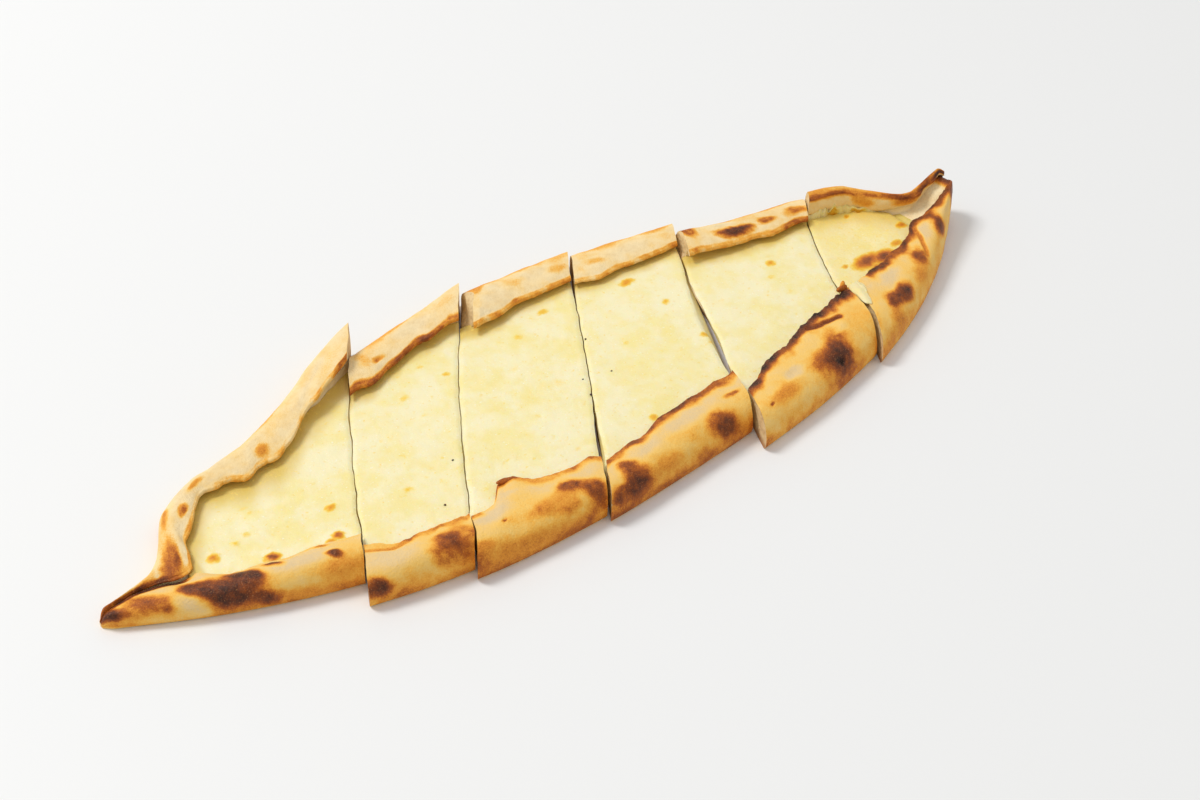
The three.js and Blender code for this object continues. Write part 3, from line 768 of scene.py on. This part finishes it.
# Browning and lift of the cheese at one place
def cheeseLook(marks, x, y):
    brown, lift = marks["warm"], 0
    frayX, frayY = x + waves(cheese["fray"], x, y, 0), y + waves(cheese["fray"], x, y, 10)
    for at, up, long, wide, level, *rise in marks["spots"]:
        if abs(x - at) > 2 * long + 2 or abs(y - up) > 2 * wide + 2:  # out of reach
            continue
        away = math.hypot((frayX - at) / long, (frayY - up) / wide)
        brown = max(brown, level * (1 - ease(away, *cheese["spotFade"])))
        away = math.hypot((x - at) / long, (y - up) / wide)
        lift += sum(rise) * (1 - ease(away, *cheese["spotRise"]))
    return brown, lift


def makeCheese(number, wedge, place, finishes):
    marks = {**usualCheese, **cheeseMarks[number - 1]}
    first, last = wedge["cheese"]
    length = sliceLength(wedge)
    columns = math.ceil(length * (last - first) / skin["cheeseSpacing"])
    ribs = [ribFacts(wedge, mix(first, last, i / columns)) for i in range(columns + 1)]
    count = math.ceil(max(facts.span for facts in ribs) / skin["cheeseSpacing"])
    bm = bmesh.new()
    bmesh.ops.create_grid(bm, x_segments=columns, y_segments=count + 3, size=0.5)
    layers = [bm.verts.layers.float.new(name) for name in ("brown", "paintedShade")]
    for vert in bm.verts:
        column, row = gridIndex(vert, columns, count + 3)
        facts = ribs[column]
        near, far = facts.rims
        left = near.pocket + cheese["clearance"]
        right = facts.span - far.pocket - cheese["clearance"]
        across = clamp((row - 1) / count) if row < count + 3 else 0
        inward = mix(left, right, across)
        underside = row in (0, count + 2, count + 3)
        z = cheese["level"] + cheese["swell"] * (2 * math.sin(math.pi * across) - 1)
        if underside:
            z = facts.floor + cheese["clearance"]
        shift = endRetreat(number, wedge, facts, inward, z, False)
        x, y = ribPoint(facts, inward) + facts.across * shift
        brown = marks["warm"]
        if not underside:
            z += waves(cheese["relief"], x, y, number)
            if "heap" in marks:
                heap = marks["heap"]
                z += heap["height"] * (1 - ease(inward - near.width, 0, heap["reach"]))
            if "tongue" in marks:
                tongue = marks["tongue"]
                z += tongue["rise"] * ease(facts.share, *tongue["riseAt"])
                z -= tongue["drop"] * ease(facts.share, *tongue["dropAt"])
                z = max(z, facts.floor + tongue["least"])
            fromLeft, fromRight = facts.share * length, (1 - facts.share) * length
            away = min(fromLeft if number > 1 else length, fromRight if number < len(slices) else length)
            z -= cheese["endDrop"] * (1 - ease(away, 0, cheese["endRound"]))
            brown, lift = cheeseLook(marks, x, y)
            z += lift
        # Painted shade: the cheese turns a deeper yellow towards the far lip, where the overhanging rim
        # shades it
        lipAway = (facts.span - far.width - inward) * far.skew + waves(cheese["paintedShadeFray"], x, y, 0)
        vert.co = (x, y, z)
        vert[layers[0]], vert[layers[1]] = brown, 1 - ease(lipAway, -1, marks["paintedShade"])
    fillEnds(bm, ribs, cheese["endRelief"])
    for x, y in marks["specks"]:
        addBit(bm, layers[0], (x, y, cheese["level"] + cheese["speckLift"]), cheese["speck"], 0, 1)
    for name, settle in (("puddle", puddlePoint), ("climb", climbPoint)):
        if name in marks:
            addMelt(bm, layers, settle, wedge, marks[name])
    finishPiece(bm, f"cheese_slice_{number}", f"cheese_{number}", finishes, place)


def linear(r, g, b):  # screen colour to the light it stands for
    return tuple(((c / 255 + 0.055) / 1.055) ** 2.4 if c > 10 else c / 3295 for c in (r, g, b)) + (1,)


def feed(tree, node, inputs):  # each input gets a fixed value or another node's output
    for name, value in inputs.items():
        if isinstance(value, bpy.types.NodeSocket):
            tree.links.new(value, node.inputs[name])
        else:
            node.inputs[name].default_value = value


def addNode(tree, kind, inputs, **settings):
    node = tree.nodes.new(kind)
    for name, value in settings.items():
        setattr(node, name, value)
    feed(tree, node, inputs)
    return node


def addRamp(tree, factor, colours):
    node = addNode(tree, "ShaderNodeValToRGB", {"Fac": factor})
    stops = [(place, linear(*rgb)) for place, rgb in colours.items()]
    ramp = node.color_ramp
    for place, colour in stops[1:-1]:
        ramp.elements.new(place).color = colour
    ramp.elements[0].position, ramp.elements[0].color = stops[0]
    ramp.elements[-1].position, ramp.elements[-1].color = stops[-1]
    return node.outputs["Color"]


def addMath(tree, operation, *values):
    return addNode(tree, "ShaderNodeMath", dict(enumerate(values)), operation=operation).outputs[0]


def addRange(tree, value, low, high, toLow, toHigh):
    inputs = {"Value": value, "From Min": low, "From Max": high, "To Min": toLow, "To Max": toHigh}
    return addNode(tree, "ShaderNodeMapRange", inputs, interpolation_type="SMOOTHSTEP").outputs[0]


def addMix(tree, factor, a, b):
    return addNode(tree, "ShaderNodeMix", {0: factor, 6: a, 7: b}, data_type="RGBA").outputs[2]


def addNoise(tree, vector, scale, detail, roughness=0.55):
    inputs = {"Vector": vector, "Scale": scale, "Detail": detail, "Roughness": roughness}
    return addNode(tree, "ShaderNodeTexNoise", inputs).outputs["Fac"]


def addBump(tree, strength, distance, height):
    inputs = {"Strength": strength, "Distance": distance, "Height": height}
    return addNode(tree, "ShaderNodeBump", inputs).outputs["Normal"]


def addPlace(tree):
    return addNode(tree, "ShaderNodeTexCoord", {}).outputs["Object"]


def addAttribute(tree, name):
    return addNode(tree, "ShaderNodeAttribute", {}, attribute_name=name).outputs["Fac"]


# Crust colours by tone, from pale dough to char, and what lies on them: flour, and pale flecks on dark
# crust that are partly sandy crust and partly painted glints
crustColours = {
    0.0: (226, 198, 150), 0.12: (236, 201, 139), 0.22: (243, 201, 122), 0.34: (247, 200, 105),
    0.46: (245, 181, 72), 0.57: (229, 148, 47), 0.68: (182, 97, 24), 0.8: (130, 63, 20), 0.9: (90, 44, 20),
    1.0: (48, 27, 17),
}
crustGrain = {
    "flour": (253, 234, 190), "fleckGlint": (206, 146, 92),
    "speckle": 1500, "patch": 320, "dust": 160, "fleckGlintScale": 1900, "bumps": 800,
}


def newFinish(name):
    finish = bpy.data.materials.new(name)
    finish.use_nodes = True
    return finish, finish.node_tree, finish.node_tree.nodes["Principled BSDF"]


def makeCrustFinish():
    finish, tree, shader = newFinish("baked crust")
    vector = addPlace(tree)
    tone, flour = addAttribute(tree, "tone"), addAttribute(tree, "flour")
    speckle = addNoise(tree, vector, crustGrain["speckle"], 3, 0.65)
    patch = addNoise(tree, vector, crustGrain["patch"], 4)
    speckled = addMath(tree, "ADD", tone, addMath(tree, "MULTIPLY_ADD", speckle, 0.3, -0.15))
    toned = addMath(tree, "ADD", speckled, addMath(tree, "MULTIPLY_ADD", patch, 0.16, -0.08))
    colour = addRamp(tree, toned, crustColours)
    dust = addRange(tree, addNoise(tree, vector, crustGrain["dust"], 5, 0.7), 0.3, 0.65, 0.35, 1)
    paleOnly = addRange(tree, toned, 0.3, 0.5, 1, 0)
    dusted = addMath(tree, "MULTIPLY", addMath(tree, "MULTIPLY", flour, dust), paleOnly)
    colour = addMix(tree, dusted, colour, linear(*crustGrain["flour"]))
    # Pale flecks on darker crust: partly sandy crust, partly painted glints
    fleckGlint = addRange(tree, addNoise(tree, vector, crustGrain["fleckGlintScale"], 2), 0.6, 0.72, 0, 0.5)
    fleckGlint = addMath(tree, "MULTIPLY", fleckGlint, addRange(tree, toned, 0.55, 0.8, 0, 1))
    colour = addMix(tree, fleckGlint, colour, linear(*crustGrain["fleckGlint"]))
    shine = addRange(tree, toned, 0.5, 0.9, 0.62, 0.44)
    bumps = addNoise(tree, vector, crustGrain["bumps"], 5, 0.6)
    height = addMath(tree, "ADD", bumps, addMath(tree, "MULTIPLY", speckle, 0.5))
    feed(tree, shader, {
        "Base Color": colour, "Normal": addBump(tree, 0.7, 0.0006, height), "Specular IOR Level": 0.25,
        "Roughness": addMath(tree, "ADD", shine, addMath(tree, "MULTIPLY", dusted, 0.2)),
    })
    return finish


# Crumb colours; the base colour low on the cut faces is partly browned base crust, partly painted shade for
# the gaps
crumbLook = {
    "dark": (216, 180, 122), "light": (240, 216, 166), "paintedPoreShade": (196, 160, 104), "base": (158, 98, 46),
    "pores": 420, "clouds": 180, "baseCrustAndShadeHeight": (0.0006, 0.0042),
}


def makeCrumbFinish():
    finish, tree, shader = newFinish("crumb")
    vector = addPlace(tree)
    cells = addNode(tree, "ShaderNodeTexVoronoi", {"Scale": crumbLook["pores"], "Vector": vector})
    pores = cells.outputs["Distance"]
    cloud = addNoise(tree, vector, crumbLook["clouds"], 4)
    colour = addMix(tree, cloud, linear(*crumbLook["dark"]), linear(*crumbLook["light"]))
    # Painted shade: pore centres darkened where the crumb's holes would lie in shade
    colour = addMix(tree, addRange(tree, pores, 0.1, 0.45, 0.5, 0), colour, linear(*crumbLook["paintedPoreShade"]))
    # Darker towards the bottom: partly the browned base crust, partly painted shade in the gaps between
    # slices
    height = addNode(tree, "ShaderNodeSeparateXYZ", {"Vector": vector}).outputs["Z"]
    baked = addRange(tree, height, *crumbLook["baseCrustAndShadeHeight"], 0.8, 0)
    colour = addMix(tree, baked, colour, linear(*crumbLook["base"]))
    normal = addBump(tree, 0.6, 0.0008, pores)
    feed(tree, shader, {"Base Color": colour, "Normal": normal, "Roughness": 0.75})
    return finish


# Cheese colours, with a deeper yellow for painted shade and near-white for painted glints,
# and its browns from light to black
cheeseColours = {
    "pale": (248, 237, 192), "yellow": (246, 229, 154), "paintedShade": (218, 184, 74), "freckle": (246, 216, 110),
    "paintedGlint": (255, 252, 236),
}
cheeseBrowns = {
    0.0: (249, 228, 132), 0.25: (247, 206, 72), 0.45: (236, 164, 24), 0.65: (204, 112, 10),
    0.85: (140, 68, 12), 1.0: (62, 42, 24),
}
cheeseGrain = {"clouds": 70, "freckles": 230, "dashes": 480, "paintedGlints": 1000, "fray": 900, "gloss": 120}


def makeCheeseFinish():
    finish, tree, shader = newFinish("melted cheese")
    vector = addPlace(tree)
    brown, paintedShade = addAttribute(tree, "brown"), addAttribute(tree, "paintedShade")
    shade = {name: linear(*rgb) for name, rgb in cheeseColours.items()}
    cloud = addRange(tree, addNoise(tree, vector, cheeseGrain["clouds"], 5, 0.6), 0.35, 0.7, 0, 1)
    colour = addMix(tree, cloud, shade["pale"], shade["yellow"])
    # Painted shade: mixes in the deeper yellow near the far lip and on the lumps
    colour = addMix(tree, addMath(tree, "MULTIPLY", paintedShade, 0.85), colour, shade["paintedShade"])
    for name, detail, low, high in (("freckles", 2, 0.62, 0.8), ("dashes", 1, 0.66, 0.76)):
        freckle = addRange(tree, addNoise(tree, vector, cheeseGrain[name], detail), low, high, 0, 0.6)
        colour = addMix(tree, freckle, colour, shade["freckle"])
    # Painted glints: tiny near-white dots for the sparkle of oily cheese, kept out of the painted shade
    glint = addRange(tree, addNoise(tree, vector, cheeseGrain["paintedGlints"], 1), 0.68, 0.74, 0, 0.6)
    glint = addMath(tree, "MULTIPLY", glint, addRange(tree, paintedShade, 0, 0.3, 1, 0))
    colour = addMix(tree, glint, colour, shade["paintedGlint"])
    fray = addMath(tree, "SUBTRACT", addNoise(tree, vector, cheeseGrain["fray"], 3), 0.5)
    fray = addMath(tree, "MULTIPLY", fray, addRange(tree, brown, 0, 0.2, 0, 0.25))
    amount = addMath(tree, "ADD", brown, fray)
    browned = addRamp(tree, amount, cheeseBrowns)
    colour = addMix(tree, addRange(tree, amount, 0.02, 0.3, 0, 1), colour, browned)
    fine = addMath(tree, "MULTIPLY", addNoise(tree, vector, 1100, 3), 0.4)
    height = addMath(tree, "ADD", addNoise(tree, vector, 260, 4), fine)
    gloss = addNoise(tree, vector, cheeseGrain["gloss"], 3)
    feed(tree, shader, {
        "Base Color": colour, "Normal": addBump(tree, 0.35, 0.0008, height),
        "Roughness": addRange(tree, gloss, 0.35, 0.65, 0.3, 0.46), "Subsurface Weight": 0.2,
        "Subsurface Radius": (1, 0.7, 0.35), "Subsurface Scale": 0.003,
    })
    return finish


crustFinish, crumbFinish, cheeseFinish = makeCrustFinish(), makeCrumbFinish(), makeCheeseFinish()
print("finishes made")

for number, (wedge, place) in enumerate(zip(slices, slicePlaces()), 1):
    makeDough(number, wedge, place, [crustFinish, crumbFinish])
    makeCheese(number, wedge, place, [cheeseFinish, cheeseFinish])
    print("slice", number, "built")

# Camera at the viewing angle of the reference picture
view = {
    "location": (-0.39136, -0.44847, 0.46812), "heading": -41.494, "pitch": 38.876, "roll": 2.244,
    "lens": 48.56, "sensor": 36,
}


def makeCamera():
    camera = newObject("camera", bpy.data.cameras.new("camera"))
    camera.data.lens = view["lens"]
    camera.data.sensor_width = view["sensor"]
    turn = turned(view["heading"]) @ turned(90 - view["pitch"], "X") @ turned(view["roll"])
    camera.matrix_world = Matrix.Translation(view["location"]) @ turn
    bpy.context.scene.camera = camera


# Pale floor, white surroundings and a soft key light from the back left
studio = {
    "floorSize": 60, "floorColour": (0.86, 0.86, 0.85, 1), "skyColour": (1, 1, 1, 1), "sky": 0.62,
    "key": 75, "keySize": 1.1, "keyAt": (-1.2, 1.9, 2.9),
}


def makeStudio():
    bm = bmesh.new()
    bmesh.ops.create_grid(bm, x_segments=1, y_segments=1, size=studio["floorSize"] / 2)
    finish, tree, shader = newFinish("floor")
    feed(tree, shader, {"Base Color": studio["floorColour"]})
    floor = newPiece(bm, "floor", [finish])
    world = bpy.data.worlds.new("studio")
    bpy.context.scene.world = world
    world.use_nodes = True
    sky = {"Strength": studio["sky"], "Color": studio["skyColour"]}
    feed(world.node_tree, world.node_tree.nodes["Background"], sky)
    lamp = newObject("key", bpy.data.lights.new("key", "AREA"))
    lamp.data.energy = studio["key"]
    lamp.data.size = studio["keySize"]
    lamp.location = studio["keyAt"]
    lamp.rotation_euler = (-Vector(studio["keyAt"])).to_track_quat("-Z", "Y").to_euler()


makeCamera()
makeStudio()
bpy.context.scene.view_settings.view_transform = "Standard"
print("camera and light set")
